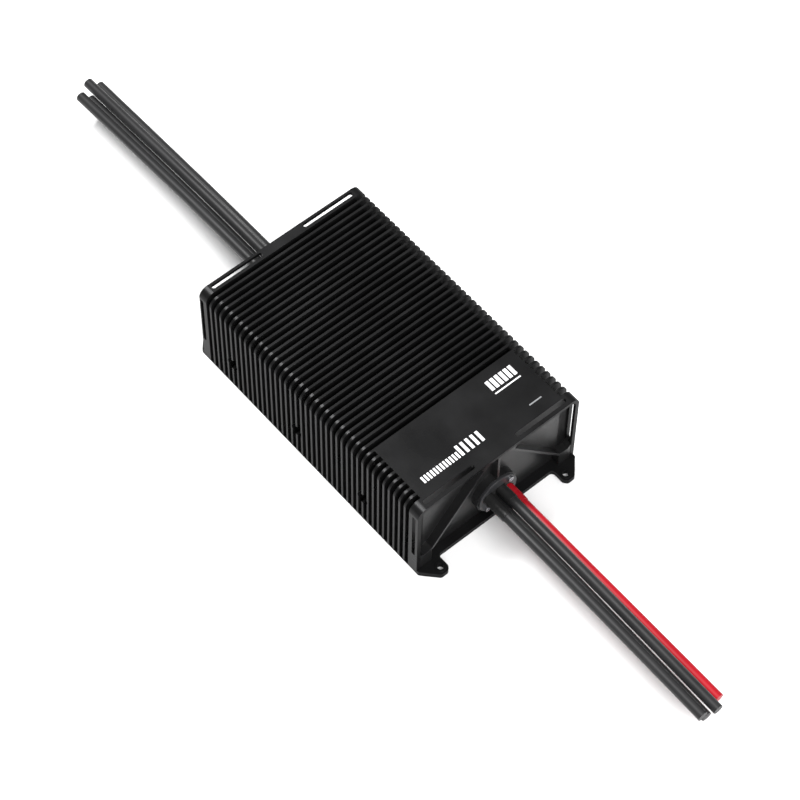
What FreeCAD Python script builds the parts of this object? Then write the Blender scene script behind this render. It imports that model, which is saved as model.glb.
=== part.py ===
"""Electronic speed controller: a finned aluminium shell over a footed base, with four cables at each end.

Frame: millimetres, +X towards the end with the red cable, +Y across, +Z up. The origin is
on the surface that the feet stand on, under the middle of the body.
"""

import FreeCAD, Part

import math
import os

import Sketcher

from FreeCAD import Placement, Rotation, Vector

FRONT, REAR = 1, -1

# The driving dimensions, in millimetres. Each becomes a cell of the sheet.
SIZES = {
    # shell
    "body_length": 162.4,
    "body_width": 100.0,
    "body_height": 55.0,
    "corner_radius": 5.0,
    "fin_pitch": 3.8,
    "fin_gap": 2.5,
    "fin_depth": 5.0,
    "fin_foot": 0.5,
    "rear_shift": 0.45,
    "label_width": 86.0,
    "cavity_width": 82.0,
    "cavity_height": 46.0,
    "seat_x": 70.2,
    "wall_end_x": 76.4,
    "seat_width": 85.0,
    "seat_height": 47.5,
    "lip_side": 2.1,
    "lip_top": 2.0,
    "slot_x": 78.25,
    "slot_width": 2.4,
    "slot_length": 31.0,
    "slot_y": 28.4,
    "side_slot_x": 78.9,
    "side_slot_width": 2.3,
    "side_slot_low": 15.0,
    "side_slot_high": 49.0,
    # screws
    "side_screw_z": 18.2,
    "side_screw_x": -8.05,
    "side_screw_pitch": 49.4,
    "screw_diameter": 3.0,
    "screw_head": 5.5,
    "base_screw_head": 4.6,
    "head_recess": 7.2,
    "base_screw_x": 79.0,
    "base_screw_y": 43.8,
    # base
    "floor": 3.0,
    "ear_tip_x": 90.8,
    "ear_inner_y": 36.6,
    "foot_x": 87.0,
    "foot_y": 40.0,
    "foot_hole": 3.4,
    "foot_pad": 5.6,
    "rail_width": 4.0,
    "rail_height": 24.0,
    "rail_length": 136.0,
    # end frames
    "seal": 1.0,
    "boss_radius": 12.2,
    "boss_face_x": 80.7,
    "rib": 1.3,
    "rib_face_x": 81.0,
    "rib_top_y": 7.0,
    "block_y": 40.4,
    "block_top": 12.3,
    # glands and cables
    "bundle_z": 21.5,
    "gland_radius": 11.6,
    "gland_plate": 1.3,
    "gland_screw_y": 6.9,
    "gland_screw_rise": 6.4,
    "gland_screw_head": 3.2,
    "gland_screw_diameter": 2.5,
    "cable": 5.4,
    "sleeve": 6.1,
    "cable_step": 4.27,
    "middle_cables_y": -0.4,
    "middle_cables_step": 3.97,
    "cable_lift": 2.4,
    "cable_inner_x": 56.0,
    # inside
    "power_board_z": 40.0,
    "power_board_length": 134.0,
    "power_board_width": 76.0,
    "board": 2.0,
    "post_radius": 3.5,
    "power_post_x": 63.0,
    "power_post_y": 34.0,
    "control_post_x": 36.0,
    "control_post_y": 30.0,
    "control_board_z": 6.0,
    "capacitor_radius": 8.0,
    "capacitor_length": 27.0,
    "capacitor_pitch": 17.5,
    "capacitor_row": 24.0,
    "transistor_pitch": 13.0,
    "transistor_row": 17.0,
    "transistor_height": 2.4,
}


class Size:
    """A length that carries its value and the sheet expression that gives it."""

    def __init__(self, value, text):
        self.value = value
        self.text = text

    @staticmethod
    def of(length):
        return length if isinstance(length, Size) else Size(float(length), repr(float(length)))

    def joined(self, sign, other, value):
        return Size(value, f"({self.text} {sign} {Size.of(other).text})")

    def __add__(self, other):
        return self.joined("+", other, self.value + Size.of(other).value)

    def __sub__(self, other):
        return self.joined("-", other, self.value - Size.of(other).value)

    def __mul__(self, factor):
        return self.joined("*", factor, self.value * Size.of(factor).value)

    def __truediv__(self, divisor):
        return self.joined("/", divisor, self.value / Size.of(divisor).value)

    def __radd__(self, other):
        return Size.of(other) + self

    def __rsub__(self, other):
        return Size.of(other) - self

    __rmul__ = __mul__

    def __neg__(self):
        return self * -1


def make_sheet(doc):
    """The sheet of driving dimensions, and the same dimensions by name."""
    sheet = doc.addObject("Spreadsheet::Sheet", "Sizes")
    named = {}
    for row, (alias, value) in enumerate(SIZES.items(), start=1):
        sheet.set(f"A{row}", alias)
        sheet.set(f"B{row}", str(value))
        sheet.setAlias(f"B{row}", alias)
        named[alias] = Size(value, f"Sizes.{alias}")
    doc.recompute()
    return named


doc = FreeCAD.newDocument("speed_controller")
S = make_sheet(doc)

HALF_LENGTH = S["body_length"] / 2
HALF_WIDTH = S["body_width"] / 2
HEIGHT = S["body_height"]
FLOOR = S["floor"]
GROOVES = 40
FULL_GROOVES = 31
END_PLATE_X = S["seat_x"] + S["seal"]
GLAND_FACE_X = S["boss_face_x"] + S["gland_plate"]
SIDE_SCREWS_X = [S["side_screw_x"] + S["side_screw_pitch"] * step for step in (-1, 0, 1)]
# The four cables as (y, height over the middle of the bundle), in a zigzag.
BUNDLE = [
    (S["cable_step"] * -1.5, S["cable_lift"]),
    (S["middle_cables_y"] - S["middle_cables_step"] / 2, -S["cable_lift"]),
    (S["middle_cables_y"] + S["middle_cables_step"] / 2, S["cable_lift"]),
    (S["cable_step"] * 1.5, -S["cable_lift"]),
]


# ---------------------------------------------------------------- general tools


def bind(target, name, length):
    """Sets a property from a size, and keeps it bound to the sheet."""
    target.setExpression(name, Size.of(length).text)


def move_to(target, x=0, y=0, z=0, turn=None):
    """Places a primitive; turn is an (axis, angle) pair."""
    rotation = Rotation(*turn) if turn else Rotation()
    spot = Vector(*(Size.of(v).value for v in (x, y, z)))
    target.Placement = Placement(spot, rotation)
    for axis, length in zip("xyz", (x, y, z)):
        if isinstance(length, Size):
            bind(target, f"Placement.Base.{axis}", length)
    return target


def box(name, x, y, z):
    """A box between the two ends given for each axis."""
    made = doc.addObject("Part::Box", name)
    for side, (low, high) in zip(("Length", "Width", "Height"), (x, y, z)):
        bind(made, side, Size.of(high) - low)
    return move_to(made, x[0], y[0], z[0])


ALONG = {"X": (Vector(0, 1, 0), 90), "Y": (Vector(1, 0, 0), -90), "Z": (Vector(0, 0, 1), 0)}


def rod(name, radius, length, at, along="Z"):
    """A cylinder that starts at a point and runs along +X, +Y or +Z."""
    made = doc.addObject("Part::Cylinder", name)
    bind(made, "Radius", radius)
    bind(made, "Height", length)
    return move_to(made, *at, turn=ALONG[along])


def named(made, label):
    made.Label = label
    return made


def fused(name, pieces):
    made = doc.addObject("Part::MultiFuse", name)
    made.Shapes = pieces
    return made


def grouped(name, pieces):
    """Separate solids that are one node."""
    made = doc.addObject("Part::Compound", name)
    made.Links = pieces
    return made


def cut(name, base, tool):
    made = doc.addObject("Part::Cut", name)
    made.Base = base
    made.Tool = tool
    return made


def mirrored(name, source):
    """The same piece at the rear end."""
    made = doc.addObject("Part::Mirroring", name)
    made.Source = source
    made.Normal = Vector(1, 0, 0)
    return made


def new_body(name):
    return doc.addObject("PartDesign::Body", name)


def origin_feature(body, role):
    return next(f for f in body.Origin.OriginFeatures if f.Role == role)


def sketch_on(body, role, offset=0):
    """An empty sketch on one of the body's planes, moved along the plane's normal."""
    sketch = body.newObject("Sketcher::SketchObject", f"{body.Name}_sketch")
    sketch.AttachmentSupport = (origin_feature(body, role), [""])
    sketch.MapMode = "FlatFace"
    sketch.AttachmentOffset = Placement(Vector(0, 0, Size.of(offset).value), Rotation())
    bind(sketch, "AttachmentOffset.Base.z", offset)
    return sketch


def hold(sketch, kind, geometry, point, length):
    """Constrains one coordinate of a point, or a radius, to a size."""
    value = Size.of(length).value
    if point is None:
        index = sketch.addConstraint(Sketcher.Constraint(kind, geometry, value))
    else:
        index = sketch.addConstraint(Sketcher.Constraint(kind, geometry, point, value))
    sketch.setExpression(f"Constraints[{index}]", Size.of(length).text)


def polygon(sketch, corners):
    """A closed outline whose corners are held by their coordinates."""
    spots = [Vector(Size.of(a).value, Size.of(b).value, 0) for a, b in corners]
    first = sketch.GeometryCount
    for start, end in zip(spots, spots[1:] + spots[:1]):
        sketch.addGeometry(Part.LineSegment(start, end), False)
    count = len(corners)
    for step in range(count):
        line, following = first + step, first + (step + 1) % count
        sketch.addConstraint(Sketcher.Constraint("Coincident", line, 2, following, 1))
    for step, (a, b) in enumerate(corners):
        hold(sketch, "DistanceX", first + step, 1, a)
        hold(sketch, "DistanceY", first + step, 1, b)


def rectangle(sketch, across, up):
    (left, right), (low, high) = across, up
    polygon(sketch, [(left, low), (right, low), (right, high), (left, high)])


def circle(sketch, centre, radius):
    spot = Vector(Size.of(centre[0]).value, Size.of(centre[1]).value, 0)
    drawn = Part.Circle(spot, Vector(0, 0, 1), Size.of(radius).value)
    index = sketch.addGeometry(drawn, False)
    hold(sketch, "DistanceX", index, 3, centre[0])
    hold(sketch, "DistanceY", index, 3, centre[1])
    hold(sketch, "Radius", index, None, radius)


def extruded(body, kind, sketch, length, reverse=False):
    feature = body.newObject(f"PartDesign::{kind}", f"{body.Name}_{kind.lower()}")
    feature.Profile = sketch
    feature.Reversed = reverse
    bind(feature, "Length", length)
    return feature


def pad(body, sketch, length, reverse=False):
    """Adds material along the sketch's normal."""
    return extruded(body, "Pad", sketch, length, reverse)


def pocket(body, sketch, length, forward=False):
    """Removes material against the sketch's normal, or along it."""
    return extruded(body, "Pocket", sketch, length, forward)


def repeated(body, feature, axis, pitch, count):
    """The same feature again and again along an axis of the body."""
    pattern = body.newObject("PartDesign::LinearPattern", f"{body.Name}_pattern")
    pattern.Originals = [feature]
    pattern.Direction = (origin_feature(body, axis), [""])
    pattern.Occurrences = count
    bind(pattern, "Length", pitch * (count - 1))
    body.Tip = pattern
    return pattern


def rounded(body, radius, chosen, kind="Fillet"):
    """Rounds or chamfers those edges of the body that the test chooses."""
    doc.recompute()
    base = body.Tip
    edges = [f"Edge{i}" for i, edge in enumerate(base.Shape.Edges, start=1) if chosen(edge)]
    feature = body.newObject(f"PartDesign::{kind}", f"{body.Name}_{kind.lower()}")
    feature.Base = (base, edges)
    bind(feature, "Radius" if kind == "Fillet" else "Size", radius)
    return feature


def runs_along(edge, axis):
    """Whether an edge is a straight line along X, Y or Z."""
    if edge.Curve.TypeId != "Part::GeomLine":
        return False
    direction = edge.Curve.Direction
    return abs(abs(direction["XYZ".index(axis)]) - 1) < 1e-6


def middle(edge):
    return edge.CenterOfMass


# ---------------------------------------------------------------- shell


def shell():
    """The finned U-shaped cover, with its lips, slots, label pad and screw recesses."""
    body = new_body("heatsink_shell")
    profile = sketch_on(body, "YZ_Plane", -HALF_LENGTH)
    rectangle(profile, (-HALF_WIDTH, HALF_WIDTH), (0, HEIGHT))
    pad(body, profile, S["body_length"])

    def top_corner(edge):
        spot = middle(edge)
        outside = abs(abs(spot.y) - HALF_WIDTH.value) < 0.01
        return runs_along(edge, "X") and outside and spot.z > HEIGHT.value - 1

    rounded(body, S["corner_radius"], top_corner)
    hollow(body, S["cavity_width"], S["cavity_height"], HALF_LENGTH)
    roof_posts(body)
    seat, knee = S["seat_width"] / 2, S["corner_radius"] - S["lip_side"]
    lip, under = HALF_WIDTH - S["lip_side"], HEIGHT - S["lip_top"]
    seat_outline = [(-seat, -1), (seat, -1), (seat, S["seat_height"]), (-seat, S["seat_height"])]
    lip_half = [(lip, -1), (lip, under - knee * 0.7), (lip - knee * 0.8, under)]
    lip_outline = lip_half + [(-y, z) for y, z in reversed(lip_half)]
    for side in (FRONT, REAR):
        for outline, start in ((seat_outline, S["seat_x"]), (lip_outline, S["wall_end_x"])):
            recess = sketch_on(body, "YZ_Plane", start * side)
            polygon(recess, outline)
            pocket(body, recess, HALF_LENGTH - start + 1, forward=side == FRONT)

    def lip_corner(edge):
        spot = middle(edge)
        in_lip = abs(spot.x) > S["wall_end_x"].value
        in_corner = 45 < abs(spot.y) < 49.5 and 49 < spot.z < 53.5
        return runs_along(edge, "X") and in_lip and in_corner

    rounded(body, 3, lip_corner)
    lip_slots(body)
    side_slots(body)
    side_screw_recesses(body)
    status_window(body)
    grooves(body)
    return named(body, "heatsink_shell")


def hollow(body, width, height, half_length):
    cavity = sketch_on(body, "YZ_Plane", -half_length)
    rectangle(cavity, (width / -2, width / 2), (-1, height))
    pocket(body, cavity, half_length * 2, forward=True)


def roof_posts(body):
    """Posts under the roof that the power board is screwed to."""
    low = S["power_board_z"] + S["board"]
    posts = sketch_on(body, "XY_Plane", low)
    holes = sketch_on(body, "XY_Plane", low)
    for x, y in power_posts():
        circle(posts, (x, y), S["post_radius"])
        circle(holes, (x, y), S["screw_diameter"] / 2)
    pad(body, posts, S["cavity_height"] - low + 1)
    pocket(body, holes, 5, forward=True)


def power_posts():
    return [(S["power_post_x"] * a, S["power_post_y"] * b) for a in (-1, 0, 1) for b in (-1, 1)]


def lip_slots(body):
    """Two long slots through the top of each lip."""
    slots = sketch_on(body, "XY_Plane", HEIGHT)
    half = S["slot_width"] / 2
    for end in (FRONT, REAR):
        for side in (-1, 1):
            x, y = S["slot_x"] * end - S["rear_shift"], S["slot_y"] * side
            rectangle(slots, (x - half, x + half), (y - S["slot_length"] / 2, y + S["slot_length"] / 2))
    pocket(body, slots, 5)

    def slot_end(edge):
        spot = middle(edge)
        off_centre = abs(spot.x + S["rear_shift"].value) - S["slot_x"].value
        return runs_along(edge, "Z") and abs(off_centre) < 1.5 and edge.Length < 3

    rounded(body, S["slot_width"] * 0.48, slot_end)


def side_slots(body):
    """One upright slot through each side of each lip."""
    slots = sketch_on(body, "XZ_Plane", HALF_WIDTH)
    half = S["side_slot_width"] / 2
    for end in (FRONT, REAR):
        x = S["side_slot_x"] * end - S["rear_shift"]
        rectangle(slots, (x - half, x + half), (S["side_slot_low"], S["side_slot_high"]))
    pocket(body, slots, S["body_width"])

    def slot_end(edge):
        spot = middle(edge)
        off_centre = abs(spot.x + S["rear_shift"].value) - S["side_slot_x"].value
        return runs_along(edge, "Y") and abs(off_centre) < 1.3 and edge.Length < 4

    rounded(body, S["side_slot_width"] * 0.48, slot_end)


def side_screw_recesses(body):
    """Recesses through the fins for three screws in each side wall."""
    wall = HALF_WIDTH - S["fin_depth"]
    for side, role_offset in ((-1, HALF_WIDTH), (1, -HALF_WIDTH)):
        recess = sketch_on(body, "XZ_Plane", role_offset)
        for x in SIDE_SCREWS_X:
            circle(recess, (x, S["side_screw_z"]), S["head_recess"] / 2)
        pocket(body, recess, HALF_WIDTH - wall, forward=side == 1)
    bores = sketch_on(body, "XZ_Plane", HALF_WIDTH)
    for x in SIDE_SCREWS_X:
        circle(bores, (x, S["side_screw_z"]), S["screw_diameter"] / 2)
    pocket(body, bores, S["body_width"])


STATUS_X, STATUS_Y = (69.05, 69.75), (28.7, 36.2)


def status_window(body):
    """The opening in the label pad for the status light."""
    window = sketch_on(body, "XY_Plane", HEIGHT)
    rectangle(window, STATUS_X, STATUS_Y)
    pocket(body, window, HEIGHT - S["cavity_height"] + 1)


def grooves(body):
    """The gaps between the fins, which run up one side, over the top and down the other."""
    first = S["fin_pitch"] * (-(GROOVES - 1) / 2) - S["fin_gap"] / 2 - S["rear_shift"]
    low = S["fin_foot"]
    side, top = HALF_WIDTH - S["fin_depth"], HEIGHT - S["fin_depth"]
    over, out = HEIGHT + 1, HALF_WIDTH + 1
    full = sketch_on(body, "YZ_Plane", first)
    outer = [(-out, low), (-out, over), (out, over), (out, low)]
    inner = [(side, low), (side, top), (-side, top), (-side, low)]
    polygon(full, outer + inner)
    repeated(body, pocket(body, full, S["fin_gap"], forward=True), "X_Axis", S["fin_pitch"], FULL_GROOVES)
    label = S["label_width"] / 2
    stub = sketch_on(body, "YZ_Plane", first + S["fin_pitch"] * FULL_GROOVES)
    for hand in (-1, 1):
        corners = [(side, low), (out, low), (out, over), (label, over), (label, top), (side, top)]
        polygon(stub, [(y * hand, z) for y, z in corners])
    short = pocket(body, stub, S["fin_gap"], forward=True)
    repeated(body, short, "X_Axis", S["fin_pitch"], GROOVES - FULL_GROOVES)


# ---------------------------------------------------------------- base


def base_plate():
    """The floor of the case, with four ears, two side rails and the control board's posts."""
    body = new_body("base_plate")
    outline = sketch_on(body, "XY_Plane")
    quarter = [
        (HALF_LENGTH, HALF_WIDTH - S["lip_side"]),
        (S["wall_end_x"], HALF_WIDTH - S["lip_side"]),
        (S["wall_end_x"], S["seat_width"] / 2),
        (S["seat_x"], S["seat_width"] / 2),
        (S["seat_x"], S["cavity_width"] / 2),
    ]
    polygon(outline, all_quarters(quarter))
    pad(body, outline, FLOOR)
    ears = sketch_on(body, "XY_Plane")
    for a, b in ((1, 1), (-1, 1), (-1, -1), (1, -1)):
        polygon(ears, [(x * a, y * b) for x, y in ear_corners()])
    pad(body, ears, FLOOR)
    raised_parts(body)

    def ear_corner(edge):
        return runs_along(edge, "Z") and abs(middle(edge).x) > HALF_LENGTH.value + 3

    def ear_root(edge):
        spot = middle(edge)
        at_root = abs(abs(spot.x) - HALF_LENGTH.value) < 0.01
        return runs_along(edge, "Z") and at_root and abs(spot.y) < 40

    rounded(body, 2.0, ear_corner)
    rounded(body, 2.2, ear_root)
    base_holes(body)
    return named(body, "base_plate")


def all_quarters(quarter):
    """A closed outline from the corners of its +X +Y quarter, listed from the end inwards."""
    back = [(-x, y) for x, y in reversed(quarter)]
    near = [(-x, -y) for x, y in quarter]
    last = [(x, -y) for x, y in reversed(quarter)]
    return quarter + back + near + last


def ear_corners():
    """The ear at +X +Y: a slanting edge from the body's corner to a short flat tip."""
    tip, inner = S["ear_tip_x"], S["ear_inner_y"]
    return [
        (HALF_LENGTH, inner),
        (tip - 2, inner),
        (tip, inner + 1.6),
        (tip, inner + 5.8),
        (HALF_LENGTH + 1.4, HALF_WIDTH),
        (HALF_LENGTH, HALF_WIDTH),
    ]


def raised_parts(body):
    """What stands up from the floor: side rails, board posts and the rims of the foot holes."""
    rails = sketch_on(body, "XY_Plane")
    outer, half = S["cavity_width"] / 2, S["rail_length"] / 2
    for hand in (-1, 1):
        rectangle(rails, (-half, half), ((outer - S["rail_width"]) * hand, outer * hand))
    pad(body, rails, S["rail_height"])
    posts = sketch_on(body, "XY_Plane")
    for x, y in control_posts():
        circle(posts, (x, y), S["post_radius"])
    pad(body, posts, S["control_board_z"])
    rims = sketch_on(body, "XY_Plane")
    for x, y in foot_centres():
        circle(rims, (x, y), S["foot_pad"] / 2)
    pad(body, rims, FLOOR + 0.3)


def foot_centres():
    return [(S["foot_x"] * a, S["foot_y"] * b) for a in (-1, 1) for b in (-1, 1)]


def base_screws_at():
    return [(S["base_screw_x"] * a, S["base_screw_y"] * b) for a in (-1, 1) for b in (-1, 1)]


def control_posts():
    return [(S["control_post_x"] * a, S["control_post_y"] * b) for a in (-1, 1) for b in (-1, 1)]


def block_screws_at():
    """The two screws that hold each cable terminal block down."""
    x = S["cable_inner_x"] - 4
    return [(x * end, BLOCK_SCREW_Y * hand) for end in (FRONT, REAR) for hand in (-1, 1)]


BLOCK_SCREW_Y = 12.4


def base_holes(body):
    """Foot holes, recessed screw holes from below, and the threads for the side screws."""
    bolts = sketch_on(body, "XY_Plane", -1)
    for centre in foot_centres():
        circle(bolts, centre, S["foot_hole"] / 2)
    for centre in base_screws_at() + block_screws_at():
        circle(bolts, centre, S["screw_diameter"] / 2)
    pocket(body, bolts, 6, forward=True)
    heads = sketch_on(body, "XY_Plane", -1)
    for centre in base_screws_at() + block_screws_at():
        circle(heads, centre, S["base_screw_head"] / 2)
    pocket(body, heads, 2.8, forward=True)
    threads = sketch_on(body, "XY_Plane", S["control_board_z"])
    for centre in control_posts():
        circle(threads, centre, 1.25)
    pocket(body, threads, 5)
    sides = sketch_on(body, "XZ_Plane", HALF_WIDTH)
    for x in SIDE_SCREWS_X:
        circle(sides, (x, S["side_screw_z"]), S["screw_diameter"] / 2)
    pocket(body, sides, S["body_width"])


# ---------------------------------------------------------------- end frames and glands


def front_end_frame():
    """The end wall with its cable boss, the three ribs in front of it and the corner blocks."""
    body = new_body("front_end_frame")
    plate = sketch_on(body, "YZ_Plane", END_PLATE_X)
    rectangle(plate, (S["seat_width"] / -2, S["seat_width"] / 2), (FLOOR, S["seat_height"]))
    pad(body, plate, S["wall_end_x"] - END_PLATE_X)
    boss = sketch_on(body, "YZ_Plane", END_PLATE_X)
    circle(boss, (0, S["bundle_z"]), S["boss_radius"])
    pad(body, boss, S["boss_face_x"] - END_PLATE_X)
    ribs(body)
    corner_blocks(body)
    opening = sketch_on(body, "YZ_Plane", END_PLATE_X - 1)
    polygon(opening, bundle_outline())
    pocket(body, opening, 12, forward=True)

    def opening_corner(edge):
        spot = middle(edge)
        inside_boss = abs(spot.z - S["bundle_z"].value) < 8 and abs(spot.y) < 16
        return runs_along(edge, "X") and inside_boss and edge.Length > 5

    rounded(body, OPENING_ROUNDING, opening_corner)
    screws = sketch_on(body, "YZ_Plane", S["boss_face_x"])
    for centre in gland_screws_at():
        circle(screws, centre, S["gland_screw_diameter"] / 2)
    pocket(body, screws, 6)
    block_threads = sketch_on(body, "XY_Plane", FLOOR)
    for hand in (-1, 1):
        circle(block_threads, (S["base_screw_x"], S["base_screw_y"] * hand), S["screw_diameter"] / 2)
    pocket(body, block_threads, 7, forward=True)
    return named(body, "front_end_frame")


def rib_y(z):
    """Where the middle of a slanting rib is at a height: it falls from the lip to the block."""
    top = HEIGHT - S["lip_top"]
    fall = (top - z) / (top - S["block_top"])
    return S["rib_top_y"] + (S["block_y"] - S["rib_top_y"]) * fall


def ribs(body):
    """Two slanting ribs and an upright one. Over the end wall they stand behind the lip only."""
    top, half = HEIGHT - S["lip_top"], S["rib"] / 2
    lean = half * 1.25
    low_part = sketch_on(body, "YZ_Plane", END_PLATE_X)
    high_part = sketch_on(body, "YZ_Plane", S["wall_end_x"])
    foot, knee, flare = S["block_top"] - 0.4, S["seat_height"], top - 2.2
    for hand in (-1, 1):
        corners = [(rib_y(foot) - lean, foot), (rib_y(foot) + lean, foot)]
        corners += [(rib_y(knee) + lean, knee), (rib_y(knee) - lean, knee)]
        polygon(low_part, [(y * hand, z) for y, z in corners])
        right = [(rib_y(knee) + lean, knee), (rib_y(flare) + lean, flare), (rib_y(top) + lean + 3.4, top)]
        left = [(rib_y(top) - lean - 1.2, top), (rib_y(flare) - lean, flare), (rib_y(knee) - lean, knee)]
        polygon(high_part, [(y * hand, z) for y, z in right + left])
    rectangle(low_part, (-half, half), (S["bundle_z"] + 11.9, knee))
    rectangle(high_part, (-half, half), (knee, top))
    pad(body, low_part, S["rib_face_x"] - END_PLATE_X)
    pad(body, high_part, S["rib_face_x"] - S["wall_end_x"])


def corner_blocks(body):
    """Solid blocks over the ears, which the base screws pull on, with a web up to each wall and rib."""
    top, inner = S["block_top"], S["block_y"]
    for start, end, outer in (
        (END_PLATE_X, S["wall_end_x"], S["seat_width"] / 2),
        (S["wall_end_x"], S["rib_face_x"], HALF_WIDTH - S["lip_side"]),
    ):
        blocks = sketch_on(body, "YZ_Plane", start)
        for hand in (-1, 1):
            rectangle(blocks, (inner * hand, outer * hand), (FLOOR, top))
        pad(body, blocks, end - start)
    webs = sketch_on(body, "YZ_Plane", S["wall_end_x"])
    side = HALF_WIDTH - S["lip_side"]
    for hand in (-1, 1):
        by_wall = [(side - 2.2, top), (side, top), (side, top + 2.2)]
        by_rib = [(inner, top), (inner + 3.6, top), (rib_y(top + 1.4), top + 1.4)]
        for corners in (by_wall, by_rib):
            polygon(webs, [(y * hand, z) for y, z in corners])
    pad(body, webs, S["rib_face_x"] - S["wall_end_x"])


SLEEVE_ROOM = 3.3
OPENING_ROUNDING = 3.0


def bundle_outline():
    """The slanting six-sided opening that the cables share, which leaves room for two screws."""
    step, rise = S["cable_step"].value, S["cable_lift"].value * 2
    slant = math.hypot(step, rise)
    wide = step * 1.5 + SLEEVE_ROOM
    tall = rise / 2 + SLEEVE_ROOM
    blunt = step * 0.5 + SLEEVE_ROOM * (slant - step) / rise
    knee = tall - (wide - blunt) * rise / step
    z = S["bundle_z"]
    return [
        (-wide, z + tall),
        (blunt, z + tall),
        (wide, z + knee),
        (wide, z - tall),
        (-blunt, z - tall),
        (-wide, z - knee),
    ]


def gland_screws_at():
    y, rise = S["gland_screw_y"], S["gland_screw_rise"]
    return [(-y, S["bundle_z"] - rise), (y, S["bundle_z"] + rise)]


def front_gland_plate():
    """The round plate that clamps the cable seal."""
    body = new_body("front_gland_plate")
    disc = sketch_on(body, "YZ_Plane", S["boss_face_x"])
    circle(disc, (0, S["bundle_z"]), S["gland_radius"])
    pad(body, disc, S["gland_plate"])
    window = sketch_on(body, "YZ_Plane", S["boss_face_x"] - 1)
    polygon(window, bundle_outline())
    pocket(body, window, S["gland_plate"] + 2, forward=True)
    rounded(body, OPENING_ROUNDING, lambda edge: runs_along(edge, "X") and abs(middle(edge).y) < 11)
    screws = sketch_on(body, "YZ_Plane", S["boss_face_x"] - 1)
    for centre in gland_screws_at():
        circle(screws, centre, S["gland_screw_diameter"] / 2)
    pocket(body, screws, S["gland_plate"] + 2, forward=True)

    def outer_rim(edge):
        round_edge = edge.Curve.TypeId == "Part::GeomCircle"
        return round_edge and edge.Curve.Radius > 11 and middle(edge).x > GLAND_FACE_X.value - 0.1

    rounded(body, 0.3, outer_rim, kind="Chamfer")
    return named(body, "front_gland_plate")


def front_cable_seal():
    """The rubber block in the boss, with a hole for each cable."""
    body = new_body("front_cable_seal")
    start = END_PLATE_X
    block = sketch_on(body, "YZ_Plane", start)
    polygon(block, bundle_outline())
    pad(body, block, GLAND_FACE_X - 0.6 - start)
    rounded(body, OPENING_ROUNDING, lambda edge: runs_along(edge, "X"))
    holes = sketch_on(body, "YZ_Plane", start - 1)
    for y, lift in BUNDLE:
        circle(holes, (y, S["bundle_z"] + lift), S["cable"] / 2)
    pocket(body, holes, 14, forward=True)
    return named(body, "front_cable_seal")


def screw(name, at, along, head_first, shank=8, diameter=None, head=None, head_height=2.0):
    """A cap screw. at is under its head; head_first is the way the shank points, +1 or -1."""
    diameter = S["screw_diameter"] if diameter is None else diameter
    head = S["screw_head"] if head is None else head
    axis = "XYZ".index(along)

    def from_head(distance):
        spot = list(at)
        spot[axis] = Size.of(spot[axis]) + distance
        return spot

    shank_at = from_head(0 if head_first > 0 else -shank)
    head_at = from_head(-head_height if head_first > 0 else 0)
    body = rod(f"{name}_shank", diameter / 2, shank, shank_at, along)
    cap = rod(f"{name}_head", head / 2, head_height, head_at, along)
    socket_depth = head_height * 0.6
    socket_at = from_head(-head_height if head_first > 0 else head_height - socket_depth)
    socket = rod(f"{name}_socket", head * 0.25, socket_depth, socket_at, along)
    return cut(f"{name}_piece", fused(f"{name}_blank", [body, cap]), socket)


def front_gland_screws():
    """The two small screws through the gland plate."""
    pieces = [
        screw(
            f"gland_screw_{i}",
            (GLAND_FACE_X, y, z),
            "X",
            -1,
            shank=7,
            diameter=S["gland_screw_diameter"],
            head=S["gland_screw_head"],
            head_height=1.0,
        )
        for i, (y, z) in enumerate(gland_screws_at(), start=1)
    ]
    return grouped("front_gland_screws", pieces)


def front_end_seal():
    """The flat rubber ring between the shell's seat and the end plate."""
    half, seat_half = S["cavity_width"] / 2, S["seat_width"] / 2
    x = (S["seat_x"], END_PLATE_X)
    outer = box("front_seal_outer", x, (-seat_half, seat_half), (FLOOR, S["seat_height"]))
    inner = box("front_seal_inner", x, (-half + 0.5, half - 0.5), (FLOOR + 1.2, S["cavity_height"] - 0.5))
    return cut("front_end_seal", outer, inner)


# ---------------------------------------------------------------- cables


# How steeply each later run of a cable falls, in degrees.
FALLS = {FRONT: (1.1, 2.0), REAR: (2.3, 3.3)}
# Where the cables' runs meet and where they end, as distances from the middle of the body.
BENDS_X = (116.0, 180.5)
TIPS_X = {
    FRONT: (229.0, 228.8, 231.0, 225.8),
    REAR: (238.3, 236.7, 243.3, 241.2),
}
# How far each cable's tip lies sideways of where the cable leaves the seal.
DRIFTS = {
    FRONT: (0.1, -0.7, -0.15, 1.1),
    REAR: (-0.6, 0.0, -0.1, 0.4),
}


def cable_route(end, index):
    """The four points of a cable: straight out of the terminal block, then two slight bends down."""
    offset_y, lift = BUNDLE[index]
    stops = (S["cable_inner_x"].value,) + BENDS_X + (TIPS_X[end][index],)
    y, z = offset_y.value, S["bundle_z"].value + lift.value
    points = [Vector(stops[0] * end, y, z), Vector(stops[1] * end, y, z)]
    beyond = stops[-1] - stops[1]
    for before, x, fall in zip(stops[1:], stops[2:], FALLS[end]):
        z -= (x - before) * math.tan(math.radians(fall))
        y += (x - before) * DRIFTS[end][index] / beyond
        points.append(Vector(x * end, y, z))
    return points


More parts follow.
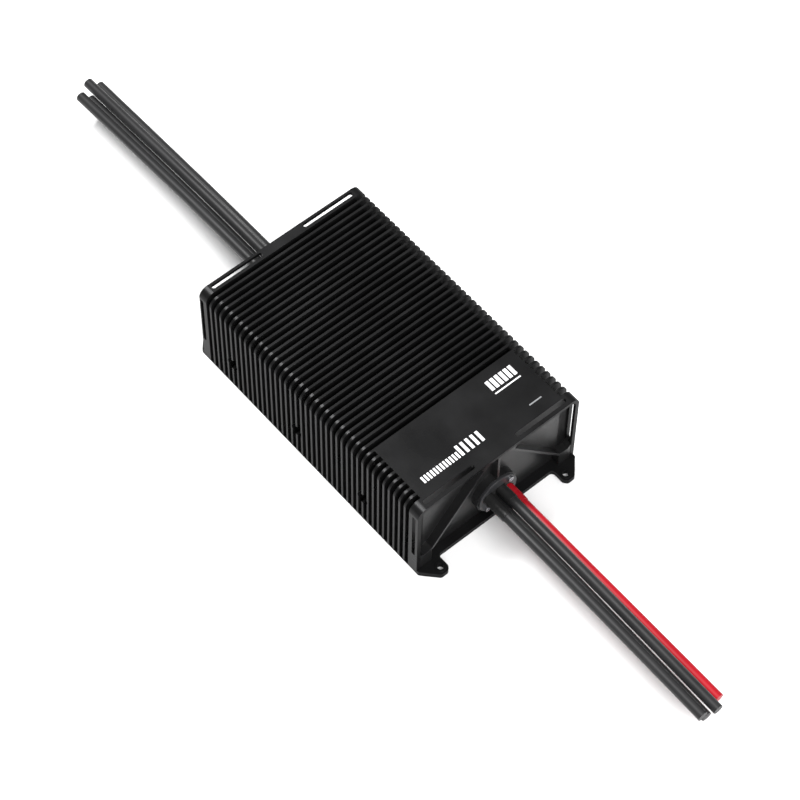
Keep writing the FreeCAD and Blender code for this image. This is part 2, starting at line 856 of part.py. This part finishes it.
def tube_along(points, radius):
    """A round tube along straight runs joined by tangent arcs, and the radii of those arcs."""
    edges, radii = [], []
    start = points[0]
    for before, corner, after in zip(points, points[1:], points[2:]):
        incoming, outgoing = (corner - before), (after - corner)
        shorter = min(incoming.Length, outgoing.Length)
        turn = incoming.getAngle(outgoing)
        reach = 0.45 * shorter
        bend = reach / math.tan(turn / 2)
        incoming.normalize()
        outgoing.normalize()
        entry, leave = corner - incoming * reach, corner + outgoing * reach
        inward = (outgoing - incoming).normalize()
        apex = corner + inward * (bend / math.cos(turn / 2) - bend)
        edges.append(Part.LineSegment(start, entry).toShape())
        edges.append(Part.Arc(entry, apex, leave).toShape())
        radii.append(bend)
        start = leave
    edges.append(Part.LineSegment(start, points[-1]).toShape())
    path = Part.Wire(edges)
    section = Part.Wire(Part.Circle(points[0], points[1] - points[0], radius).toShape())
    return path.makePipeShell([section], True, False), path.Length, radii


def cable(name, end, index):
    made = doc.addObject("Part::Feature", name)
    radius = S["cable"].value / 2
    made.Shape, length, radii = tube_along(cable_route(end, index), radius)
    expected = math.pi * radius**2 * length
    print(
        f"{name}: {length:.1f} mm, bend radii {', '.join(f'{r:.0f}' for r in radii)} mm,"
        f" volume {made.Shape.Volume / expected:.4f} of section times length"
    )
    return made


SLEEVE_LENGTHS = (13.9, 10.6, 8.9, 11.0)


def sleeve(name, end, index):
    """The heat-shrink sleeve on a cable where it leaves the seal."""
    offset_y, lift = BUNDLE[index]
    start = GLAND_FACE_X - 0.6
    length = SLEEVE_LENGTHS[index]
    spot = (start if end == FRONT else -start - length, offset_y, S["bundle_z"] + lift)
    outer = rod(f"{name}_outer", S["sleeve"] / 2, length, spot, "X")
    inner = rod(f"{name}_inner", S["cable"] / 2 + 0.05, length, spot, "X")
    return cut(name, outer, inner)


CABLE_NAMES = {
    FRONT: ("battery_negative", "battery_signal", "battery_sense", "battery_positive"),
    REAR: ("phase_a", "phase_b", "phase_c", "motor_sensor"),
}


# ---------------------------------------------------------------- inside


def power_board():
    """The board under the roof that carries the transistors and capacitors."""
    half_x, half_y = S["power_board_length"] / 2, S["power_board_width"] / 2
    z = (S["power_board_z"], S["power_board_z"] + S["board"])
    blank = box("power_board_blank", (-half_x, half_x), (-half_y, half_y), z)
    holes = [
        rod(f"power_board_hole_{i}", S["screw_diameter"] / 2, S["board"], (x, y, z[0]))
        for i, (x, y) in enumerate(power_posts(), start=1)
    ]
    return cut("power_board", blank, fused("power_board_holes", holes))


def power_board_screws():
    pieces = [
        screw(f"power_screw_{i}", (x, y, S["power_board_z"]), "Z", 1, shank=6)
        for i, (x, y) in enumerate(power_posts(), start=1)
    ]
    return grouped("power_board_screws", pieces)


def power_transistors():
    """Eighteen switching transistors in two rows against the roof."""
    low = S["power_board_z"] + S["board"]
    pieces = []
    for column in range(-4, 5):
        for row in (-1, 1):
            x = S["transistor_pitch"] * column
            y = S["transistor_row"] * row
            name = f"transistor_{column + 5}_{'left' if row < 0 else 'right'}"
            span = (low, low + S["transistor_height"])
            pieces.append(box(name, (x - 5, x + 5), (y - 5.8, y + 5.8), span))
    return grouped("power_transistors", pieces)


def thermal_pads():
    """Soft pads between the transistors and the roof."""
    low = S["power_board_z"] + S["board"] + S["transistor_height"]
    pieces = [
        box(f"thermal_pad_{row + 2}", (-58, 58), (y - 6.5, y + 6.5), (low, S["cavity_height"]))
        for row, y in ((-1, S["transistor_row"] * -1), (0, S["transistor_row"]))
    ]
    return grouped("thermal_pads", pieces)


def capacitor(name, x, y):
    """A can with a crimped groove near its lower end, which hangs from the board."""
    radius, top = S["capacitor_radius"], S["power_board_z"]
    low = top - S["capacitor_length"]
    can = rod(f"{name}_can", radius, S["capacitor_length"], (x, y, low))
    ring_blank = rod(f"{name}_ring", radius, 1.2, (x, y, top - 4))
    ring_core = rod(f"{name}_core", radius - 0.6, 1.2, (x, y, top - 4))
    return cut(f"{name}_piece", can, cut(f"{name}_groove", ring_blank, ring_core))


def bulk_capacitors():
    pieces = []
    for column in (-1.5, -0.5, 0.5, 1.5):
        for row in (-1, 1):
            name = f"capacitor_{int(column + 2.5)}_{'left' if row < 0 else 'right'}"
            x = S["capacitor_pitch"] * column
            pieces.append(capacitor(name, x, S["capacitor_row"] * row))
    return grouped("bulk_capacitors", pieces)


def current_shunts():
    top = S["power_board_z"]
    pieces = [
        box(f"shunt_{i}", (x - 1.6, x + 1.6), (-3.2, 3.2), (top - 1, top))
        for i, x in enumerate((-14, 14, 28), start=1)
    ]
    return grouped("current_shunts", pieces)


def control_board():
    low = S["control_board_z"]
    blank = box("control_board_blank", (-41, 41), (-34, 34), (low, low + 1.6))
    holes = [
        rod(f"control_board_hole_{i}", 1.25, 1.6, (x, y, low))
        for i, (x, y) in enumerate(control_posts(), start=1)
    ]
    return cut("control_board", blank, fused("control_board_holes", holes))


def control_board_screws():
    top = S["control_board_z"] + 1.6
    pieces = [
        screw(f"control_screw_{i}", (x, y, top), "Z", -1, shank=5, diameter=2.5, head=4.4, head_height=1.6)
        for i, (x, y) in enumerate(control_posts(), start=1)
    ]
    return grouped("control_board_screws", pieces)


def control_chips():
    """The controller, its three gate drivers and the supply coil, on the control board."""
    top = S["control_board_z"] + 1.6
    controller = box("microcontroller", (-26, -16), (-5, 5), (top, top + 1.4))
    drivers = [
        box(f"driver_{i}", (x - 2.5, x + 2.5), (-3, 3), (top, top + 1.6))
        for i, x in enumerate((16, 24, 32), start=1)
    ]
    coil = box("supply_coil", (-37, -30), (-3.5, 3.5), (top, top + 3.2))
    return controller, grouped("gate_drivers", drivers), coil


def board_link():
    """The tall pin header that joins the two boards."""
    low = S["control_board_z"] + 1.6
    return box("board_link_header", (-6, 6), (-2.5, 2.5), (low, S["power_board_z"]))


def status_light():
    """The light pipe in the label pad."""
    return box("status_light", STATUS_X, STATUS_Y, (S["cavity_height"], HEIGHT))


def front_terminal_block():
    """The insulating block that the four cables end in."""
    inner = S["cable_inner_x"]
    x = (inner - 9, inner + 8)
    core = box("terminal_core", x, (-10, 10), (FLOOR, S["bundle_z"] + 9))
    foot = box("terminal_foot", (inner - 8, inner), (-15, 15), (FLOOR, FLOOR + 8))
    tools = []
    for i, (y, lift) in enumerate(BUNDLE, start=1):
        z = S["bundle_z"] + lift
        tools.append(rod(f"terminal_bore_{i}", S["cable"] / 2, 8, (inner, y, z), "X"))
        tools.append(box(f"terminal_slit_{i}", (inner - 9, inner), (y - 1.6, y + 1.6), (z - 1, z + 1)))
    for i, y in enumerate((-BLOCK_SCREW_Y, BLOCK_SCREW_Y), start=1):
        tools.append(rod(f"terminal_thread_{i}", S["screw_diameter"] / 2, 6, (inner - 4, y, FLOOR)))
    blank = fused("terminal_blank", [core, foot])
    return cut("front_terminal_block", blank, fused("terminal_tools", tools))


def front_terminal_bars():
    """A copper bar from each cable's end to the power board."""
    inner, top = S["cable_inner_x"], S["power_board_z"]
    pieces = []
    for i, (y, lift) in enumerate(BUNDLE, start=1):
        z = S["bundle_z"] + lift
        reach = inner - 13 - (2 if i % 2 else 0)
        side = (y - 1.6, y + 1.6)
        flat = box(f"bar_flat_{i}", (reach, inner), side, (z - 1, z + 1))
        riser = box(f"bar_riser_{i}", (reach, reach + 2), side, (z - 1, top))
        pieces.append(fused(f"terminal_bar_{i}", [flat, riser]))
    return grouped("front_terminal_bars", pieces)


# ---------------------------------------------------------------- fasteners and marks


def side_screws():
    wall = HALF_WIDTH - S["fin_depth"]
    pieces = []
    for i, x in enumerate(SIDE_SCREWS_X, start=1):
        for hand, y, inward in (("left", -wall, 1), ("right", wall, -1)):
            at = (x, y, S["side_screw_z"])
            pieces.append(screw(f"side_{hand}_{i}", at, "Y", inward, head_height=1.2))
    return grouped("side_screws", pieces)


def base_screws():
    pieces = [
        screw(f"base_screw_{i}", (x, y, 1.8), "Z", 1, head=S["base_screw_head"], head_height=1.6)
        for i, (x, y) in enumerate(base_screws_at(), start=1)
    ]
    return grouped("base_screws", pieces)


def terminal_block_screws():
    pieces = [
        screw(f"block_screw_{i}", (x, y, 1.8), "Z", 1, 7, head=S["base_screw_head"], head_height=1.6)
        for i, (x, y) in enumerate(block_screws_at(), start=1)
    ]
    return grouped("terminal_block_screws", pieces)


# Plain printed bars on the label pad: a short row of broad ones over a line, and a long row
# that is half as high and finer in its first part.
MARK_ROWS = (
    # x from, x to, y of the first bar, width of a bar, pitch, number
    (46.5, 52.4, 20.6, 1.9, 2.78, 6),
    (54.1, 54.8, 20.6, 15.8, 15.8, 1),
    (66.6, 70.3, -36.5, 1.1, 1.9, 12),
    (64.0, 70.3, -13.6, 1.6, 3.1, 5),
)


def label_marks():
    pieces = []
    for row, (x0, x1, first, width, pitch, count) in enumerate(MARK_ROWS, start=1):
        for i in range(count):
            y = first + pitch * i
            pieces.append(box(f"mark_{row}_{i + 1}", (x0, x1), (y, y + width), (HEIGHT, HEIGHT + 0.1)))
    return grouped("label_marks", pieces)


# ---------------------------------------------------------------- the whole


def front_and_rear(make):
    """A piece at the front end, and its mirror image at the rear."""
    front = make()
    label = front.Name
    rear = mirrored(label.replace("front", "rear"), front)
    return [named(front, label), named(rear, rear.Name)]


def all_parts():
    parts = [shell(), base_plate()]
    for make in (
        front_end_frame,
        front_end_seal,
        front_gland_plate,
        front_cable_seal,
        front_gland_screws,
        front_terminal_block,
        front_terminal_bars,
    ):
        parts += front_and_rear(make)
    for end in (FRONT, REAR):
        for index, name in enumerate(CABLE_NAMES[end]):
            parts.append(cable(f"{name}_cable", end, index))
            parts.append(sleeve(f"{name}_sleeve", end, index))
    parts += [side_screws(), base_screws(), terminal_block_screws(), label_marks(), status_light()]
    parts += [power_board(), power_board_screws(), power_transistors(), thermal_pads()]
    parts += [bulk_capacitors(), current_shunts(), control_board(), control_board_screws()]
    parts += control_chips()
    parts.append(board_link())
    return parts


def check(parts):
    """Stops with a message if any object failed, or a pocket cut nothing."""
    for made in doc.Objects:
        if "Invalid" in made.State or "Error" in made.State:
            raise RuntimeError(f"{made.Label} failed: {made.State}")
        if made.TypeId == "PartDesign::Pocket":
            if made.Shape.Volume > made.BaseFeature.Shape.Volume - 1e-3:
                raise RuntimeError(f"{made.Label} cuts nothing")
    for part in parts:
        if part.Shape.isNull() or not part.Shape.isValid():
            raise RuntimeError(f"{part.Label} has no valid shape")
        print(f"{part.Label}: {len(part.Shape.Solids)} solids, {part.Shape.Volume:.0f} mm3")


parts = all_parts()
doc.recompute()
check(parts)
os.makedirs("parts", exist_ok=True)
for part in parts:
    part.Shape.exportStep(f"parts/{part.Label}.step")
print(f"{len(parts)} nodes")
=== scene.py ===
"""Looks of the electronic speed controller: its cables, finishes, light and camera."""

import math

import bmesh
import bpy
from mathutils import Matrix, Vector


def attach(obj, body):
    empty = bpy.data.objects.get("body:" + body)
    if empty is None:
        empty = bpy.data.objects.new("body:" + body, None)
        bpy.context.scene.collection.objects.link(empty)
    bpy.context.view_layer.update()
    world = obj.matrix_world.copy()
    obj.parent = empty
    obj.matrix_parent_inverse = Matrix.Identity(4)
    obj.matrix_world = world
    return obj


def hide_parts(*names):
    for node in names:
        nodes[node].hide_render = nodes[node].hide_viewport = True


MM = 0.001

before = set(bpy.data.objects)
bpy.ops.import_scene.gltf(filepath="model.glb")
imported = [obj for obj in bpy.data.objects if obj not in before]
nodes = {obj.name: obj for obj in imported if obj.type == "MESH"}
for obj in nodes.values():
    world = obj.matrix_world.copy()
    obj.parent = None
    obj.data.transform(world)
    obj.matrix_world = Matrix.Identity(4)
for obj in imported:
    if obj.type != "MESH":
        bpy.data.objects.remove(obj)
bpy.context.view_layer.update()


# ---------------------------------------------------------------- camera


CAMERA_PLACE = (0.55457, -0.47605, 1.16039)
# The way it looks, round from +X and down from level, and its turn about that line. In degrees.
CAMERA_AZIMUTH, CAMERA_DOWN, CAMERA_ROLL = 138.89, 57.80, 0.98
CAMERA_LENS, CAMERA_SENSOR, CAMERA_SHIFT = 125.46, 36, (0.0017, 0.0067)


def make_camera():
    """A long lens that looks down on the supply end's left corner."""
    azimuth, down = math.radians(CAMERA_AZIMUTH), math.radians(CAMERA_DOWN)
    forward = Vector(
        (
            math.cos(down) * math.cos(azimuth),
            math.cos(down) * math.sin(azimuth),
            -math.sin(down),
        )
    )
    data = bpy.data.cameras.new("camera")
    data.lens, data.sensor_width = CAMERA_LENS, CAMERA_SENSOR
    data.shift_x, data.shift_y = CAMERA_SHIFT
    data.clip_start, data.clip_end = 0.05, 20
    camera = bpy.data.objects.new("camera", data)
    turn = forward.to_track_quat("-Z", "Y").to_matrix().to_4x4()
    roll = Matrix.Rotation(math.radians(CAMERA_ROLL), 4, "Z")
    camera.matrix_world = Matrix.Translation(CAMERA_PLACE) @ turn @ roll
    bpy.context.collection.objects.link(camera)
    bpy.context.scene.camera = camera


# ---------------------------------------------------------------- cables

# Distances from the middle along x, in mm: the terminal block, the gland, and the two bends.
INNER_X, EXIT_X, FIRST_BEND_X, SECOND_BEND_X = 56.0, 82.0, 116.0, 180.5
CABLE_DIAMETER = 5.4
# How far each end's cables fall after either bend, in degrees.
FALLS = {1: (1.1, 2.0), -1: (2.3, 3.3)}
# Each cable's end of the body, y and z in the gland, x of its tip, and sideways drift. In mm.
CABLES = {
    "battery_negative_cable": (1, -6.405, 23.9, 229.0, 0.1),
    "battery_signal_cable": (1, -2.385, 19.1, 228.8, -0.7),
    "battery_sense_cable": (1, 1.585, 23.9, 231.0, -0.15),
    "battery_positive_cable": (1, 6.405, 19.1, 225.8, 1.1),
    "phase_a_cable": (-1, -6.405, 23.9, 238.3, -0.6),
    "phase_b_cable": (-1, -2.385, 19.1, 236.7, 0.0),
    "phase_c_cable": (-1, 1.585, 23.9, 243.3, -0.1),
    "motor_sensor_cable": (-1, 6.405, 19.1, 241.2, 0.4),
}


def cable_points(end, y, z, tip_x, drift):
    """The route's points in metres: straight out of the terminal block, then two slight bends."""
    stops = (INNER_X, FIRST_BEND_X, SECOND_BEND_X, tip_x)
    points = [Vector((stops[0] * end, y, z)), Vector((stops[1] * end, y, z))]
    for before, x, fall in zip(stops[1:], stops[2:], FALLS[end]):
        z -= (x - before) * math.tan(math.radians(fall))
        y += (x - before) * drift / (stops[-1] - stops[1])
        points.append(Vector((x * end, y, z)))
    return [point * MM for point in points]


def make_cable(node, end, y, z, tip_x, drift):
    """One cable as a smooth curve of round section. Its radius is that of its points, over a bevel
    of one metre, because a curve's box reaches out from its points by their radius."""
    data = bpy.data.curves.new(node.replace("cable", "lead"), "CURVE")
    data.dimensions = "3D"
    data.bevel_depth = 1.0
    data.bevel_resolution = 10
    data.use_fill_caps = True
    data.resolution_u = 24
    points = cable_points(end, y, z, tip_x, drift)
    spline = data.splines.new("NURBS")
    spline.points.add(len(points) - 1)
    for target, point in zip(spline.points, points):
        target.co = (*point, 1)
        target.radius = CABLE_DIAMETER / 2 * MM
    spline.order_u = 3
    spline.use_endpoint_u = True
    cable = bpy.data.objects.new(data.name, data)
    bpy.context.collection.objects.link(cable)
    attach(cable, "root")
    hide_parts(node)
    return cable


# ---------------------------------------------------------------- material tools


class Shader:
    """A Principled material under construction. Its noise fades in over the middle of its range."""

    NOISE_LOW, NOISE_HIGH = 0.3, 0.7

    def __init__(self, name, colour, roughness, metallic=0.0, **sockets):
        self.material = bpy.data.materials.new(name)
        self.material.use_nodes = True
        self.tree = self.material.node_tree
        self.surface = self.tree.nodes["Principled BSDF"]
        self.surface.inputs["Base Color"].default_value = (*colour, 1)
        self.surface.inputs["Roughness"].default_value = roughness
        self.surface.inputs["Metallic"].default_value = metallic
        for socket, value in sockets.items():
            self.surface.inputs[socket.replace("_", " ")].default_value = value

    def add(self, kind, **settings):
        node = self.tree.nodes.new(kind)
        for name, value in settings.items():
            if name in node.inputs:
                node.inputs[name].default_value = value
            else:
                setattr(node, name, value)
        return node

    def link(self, source, target):
        self.tree.links.new(source, target)

    def noise(self, scale, detail=3.0, stretch=(1, 1, 1)):
        """Noise in object space, drawn out along an axis where stretch is below 1."""
        place = self.add("ShaderNodeTexCoord")
        mapping = self.add("ShaderNodeMapping")
        mapping.inputs["Scale"].default_value = stretch
        self.link(place.outputs["Object"], mapping.inputs["Vector"])
        texture = self.add("ShaderNodeTexNoise", Scale=scale, Detail=detail)
        self.link(mapping.outputs["Vector"], texture.inputs["Vector"])
        return texture.outputs["Fac"]

    def ranged(self, value, low, high):
        spread = self.add("ShaderNodeMapRange")
        spread.inputs["From Min"].default_value = self.NOISE_LOW
        spread.inputs["From Max"].default_value = self.NOISE_HIGH
        spread.inputs["To Min"].default_value = low
        spread.inputs["To Max"].default_value = high
        self.link(value, spread.inputs["Value"])
        return spread.outputs["Result"]

    def vary_roughness(self, value, low, high):
        self.link(self.ranged(value, low, high), self.surface.inputs["Roughness"])

    def vary_colour(self, value, first, second):
        blend = self.add("ShaderNodeMix", data_type="RGBA")
        ends = [socket for socket in blend.inputs if socket.type == "RGBA"]
        for socket, end in zip(ends, (first, second)):
            socket.default_value = (*end, 1)
        self.link(self.ranged(value, 0, 1), blend.inputs["Factor"])
        colour = next(s for s in blend.outputs if s.type == "RGBA")
        self.link(colour, self.surface.inputs["Base Color"])

    def bump(self, height, strength, distance, edge=0.0):
        """A fine relief, over edges that are softened by a small radius."""
        relief = self.add("ShaderNodeBump", Strength=strength, Distance=distance)
        self.link(height, relief.inputs["Height"])
        if edge:
            soft = self.add("ShaderNodeBevel", samples=4, Radius=edge)
            self.link(soft.outputs["Normal"], relief.inputs["Normal"])
        self.link(relief.outputs["Normal"], self.surface.inputs["Normal"])


DARK_TINT = (0.5, 0.5, 0.5, 1)


def black_anodised(name, colour, roughness, metallic=0.0, gloss=0.22, edge=0.00022):
    """Fine-blasted and anodised aluminium: an even, dark, satin skin. Where the metal shows
    through the dye, it is darker at grazing angles."""
    shader = Shader(name, colour, roughness, metallic, Specular_IOR_Level=gloss)
    if metallic:
        shader.surface.inputs["Specular Tint"].default_value = DARK_TINT
    cloud = shader.noise(45, 4)
    shader.vary_roughness(cloud, roughness - 0.03, roughness + 0.04)
    shader.vary_colour(cloud, tuple(c * 0.85 for c in colour), tuple(c * 1.2 for c in colour))
    shader.bump(shader.noise(9000, 2), 0.12, 0.00003, edge=edge)
    return shader.material


def turned_metal(name, colour, roughness):
    """Machined metal with fine tool marks across the axis of the body."""
    shader = Shader(name, colour, roughness, metallic=1.0)
    marks = shader.noise(2600, 2, stretch=(1, 0.08, 1))
    shader.vary_roughness(marks, roughness - 0.05, roughness + 0.08)
    shader.bump(marks, 0.1, 0.00003, edge=0.00015)
    return shader.material


def silicone(name, colour, roughness):
    """Soft cable silicone, with a faint dusty unevenness along its length."""
    shader = Shader(name, colour, roughness, Specular_IOR_Level=0.24)
    along = shader.noise(260, 4, stretch=(0.15, 1, 1))
    shader.vary_roughness(along, roughness - 0.05, roughness + 0.08)
    shader.vary_colour(along, tuple(c * 0.88 for c in colour), tuple(c * 1.12 for c in colour))
    shader.bump(shader.noise(3200, 3, stretch=(0.3, 1, 1)), 0.12, 0.00004)
    return shader.material


def shrunk_tube(name, colour):
    """Heat-shrunk tubing, with slight ripples around it."""
    shader = Shader(name, colour, 0.42, Specular_IOR_Level=0.3)
    ripples = shader.noise(420, 3, stretch=(1, 0.4, 0.4))
    shader.vary_roughness(ripples, 0.36, 0.5)
    shader.bump(ripples, 0.25, 0.0002, edge=0.00025)
    return shader.material


def plastic(name, colour, roughness):
    shader = Shader(name, colour, roughness)
    cloud = shader.noise(800, 3)
    shader.vary_roughness(cloud, roughness - 0.04, roughness + 0.06)
    shader.bump(cloud, 0.08, 0.00005, edge=0.0001)
    return shader.material


def printed_ink(name, colour):
    """A thin ink film, with a little of the metal's grain in it."""
    shader = Shader(name, colour, 0.55)
    speckle = shader.noise(5200, 2)
    shader.vary_colour(speckle, tuple(c * 0.9 for c in colour), colour)
    shader.bump(speckle, 0.1, 0.00002)
    return shader.material


# ---------------------------------------------------------------- finishes


def paint(material, *names):
    for name in names:
        slots = nodes[name].material_slots
        for slot in slots:
            slot.material = material


def at_both_ends(piece):
    return [f"front_{piece}", f"rear_{piece}"]


def finish_metal():
    dye = (0.0128, 0.0128, 0.0131)
    shell = black_anodised("shell_anodised", dye, 0.29, metallic=0.60, gloss=0.14, edge=0.00008)
    paint(shell, "heatsink_shell")
    dye = (0.0140, 0.0140, 0.0144)
    base = black_anodised("base_anodised_black", dye, 0.36, metallic=0.7, gloss=0.05)
    paint(base, "base_plate")
    end = black_anodised("end_anodised", (0.0078, 0.0078, 0.0080), 0.33)
    paint(end, *at_both_ends("end_frame"))
    gland = black_anodised("gland_anodised", (0.022, 0.022, 0.0235), 0.34)
    paint(gland, *at_both_ends("gland_plate"))
    paint(turned_metal("bright_screw", (0.36, 0.36, 0.38), 0.32), *at_both_ends("gland_screws"))
    black_screws = ["side_screws", "base_screws", "terminal_block_screws"]
    black_screws += ["power_board_screws", "control_board_screws"]
    paint(turned_metal("black_screw", (0.045, 0.045, 0.047), 0.4), *black_screws)
    paint(turned_metal("bare_copper", (0.80, 0.42, 0.26), 0.3), *at_both_ends("terminal_bars"))
    paint(turned_metal("shunt_alloy", (0.52, 0.50, 0.46), 0.35), "current_shunts")


def finish_inside():
    paint(plastic("solder_mask", (0.012, 0.085, 0.040), 0.35), "power_board", "control_board")
    chips = ["power_transistors", "microcontroller", "gate_drivers", "supply_coil"]
    paint(plastic("moulded_epoxy", (0.02, 0.02, 0.021), 0.5), *chips)
    paint(plastic("capacitor_sleeve", (0.03, 0.034, 0.05), 0.3), "bulk_capacitors")
    paint(plastic("gap_filler_pad", (0.36, 0.42, 0.5), 0.8), "thermal_pads")
    black_nylon = at_both_ends("terminal_block") + ["board_link_header"]
    paint(plastic("black_nylon", (0.03, 0.03, 0.03), 0.5), *black_nylon)


def finish_marks():
    paint(printed_ink("pale_ink", (0.72, 0.72, 0.73)), "label_marks")
    paint(plastic("milky_light_pipe", (0.19, 0.195, 0.20), 0.25), "status_light")


def finish_seals():
    rubber = plastic("seal_rubber_black", (0.012, 0.012, 0.012), 0.6)
    paint(rubber, *at_both_ends("cable_seal"), *at_both_ends("end_seal"))


def finish_cables(cables):
    black = silicone("black_silicone", (0.015, 0.015, 0.0155), 0.40)
    red = silicone("red_silicone", (0.28, 0.003, 0.009), 0.40)
    black_tube = shrunk_tube("black_shrink", (0.009, 0.009, 0.009))
    red_tube = shrunk_tube("red_shrink", (0.26, 0.002, 0.007))
    for node, cable in cables.items():
        is_red = node.startswith("battery_positive")
        cable.data.materials.append(red if is_red else black)
        paint(red_tube if is_red else black_tube, node.replace("_cable", "_sleeve"))


# ---------------------------------------------------------------- studio


FLOOR_REACH = 6
FLOOR_GAP = 0.0005


def make_floor():
    """A wide, plain floor, a hair below the base."""
    mesh = bpy.data.meshes.new("floor")
    made = bmesh.new()
    bmesh.ops.create_grid(made, x_segments=1, y_segments=1, size=FLOOR_REACH)
    made.to_mesh(mesh)
    made.free()
    floor = bpy.data.objects.new("floor", mesh)
    floor.location.z = -FLOOR_GAP
    bpy.context.collection.objects.link(floor)
    shader = Shader("pale_floor", (0.83, 0.83, 0.83), 0.9)
    mesh.materials.append(shader.material)


def area_light(name, direction, distance, size, power):
    """A rectangular softbox that faces the middle of the base."""
    data = bpy.data.lights.new(name, "AREA")
    data.shape = "RECTANGLE"
    data.size, data.size_y = size
    data.energy = power
    light = bpy.data.objects.new(name, data)
    aim = Vector(direction).normalized()
    light.location = aim * distance
    light.rotation_euler = (-aim).to_track_quat("-Z", "Y").to_euler()
    bpy.context.collection.objects.link(light)


def make_light():
    """An even white surround, a key light from the motor end and a fill from the supply end."""
    world = bpy.data.worlds.new("studio")
    world.use_nodes = True
    background = world.node_tree.nodes["Background"]
    background.inputs["Color"].default_value = (1, 1, 1, 1)
    background.inputs["Strength"].default_value = 0.37
    bpy.context.scene.world = world
    area_light("key", (-0.40, -0.10, 0.90), 2.2, (1.2, 0.4), 62)
    area_light("fill", (1.0, -0.2, 1.1), 1.9, (1.5, 1.5), 55)
    bpy.context.scene.view_settings.view_transform = "Standard"


# ---------------------------------------------------------------- the whole

make_camera()
cables = {node: make_cable(node, *facts) for node, facts in CABLES.items()}
finish_metal()
finish_inside()
finish_marks()
finish_seals()
finish_cables(cables)
make_floor()
make_light()
